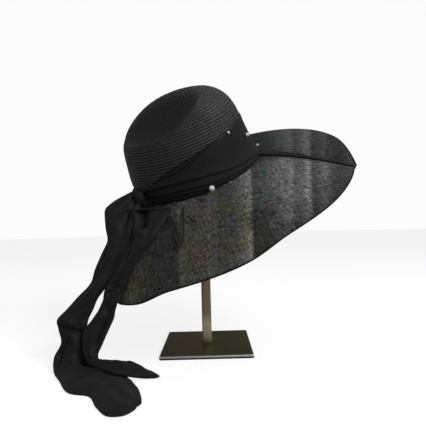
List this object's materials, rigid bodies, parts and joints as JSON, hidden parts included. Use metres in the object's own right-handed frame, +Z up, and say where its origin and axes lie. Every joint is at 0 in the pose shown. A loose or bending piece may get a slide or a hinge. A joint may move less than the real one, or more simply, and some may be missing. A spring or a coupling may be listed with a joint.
{
  "type": "sinamay derby hat on a square display stand",
  "caption": "Wide-brimmed black sinamay hat with a sewn straw crown, knotted silk scarf and pearl pins, leaning on a square steel display stand.",
  "frame": {"origin": "centre of the stand plate's underside", "axes": "+Z up, +X towards the hat's front tip, +Y towards the hat's far side"},
  "size_m": [0.4355, 0.4501, 0.3939],
  "materials": {
    "brushed_steel": "brushed dark steel, warm grey",
    "painted_cap": "matte black, hidden in the crown",
    "straw_braid": "sewn rows of fine black straw braid, low sheen",
    "sinamay": "stiffened open sinamay weave, black with faint green and brown threads",
    "edge_binding": "narrow black bound edge over wire",
    "silk": "matt black silk with soft folds",
    "pearl": "glossy white imitation pearl",
    "quill": "stripped black quill"
  },
  "bodies": {
    "root": {"stand_base": "brushed_steel", "stand_post": "brushed_steel", "stand_head": "painted_cap", "crown": "straw_braid", "brim": "sinamay", "brim_edge": "edge_binding", "scarf_band": "silk", "scarf_knot": "silk", "scarf_fan": "silk", "tail_left": "silk", "tail_right": "silk", "pearl_1": "pearl", "pearl_2": "pearl", "pearl_3": "pearl", "pearl_4": "pearl", "quill_1": "quill", "quill_2": "quill", "quill_3": "quill"}
  },
  "joints": []
}
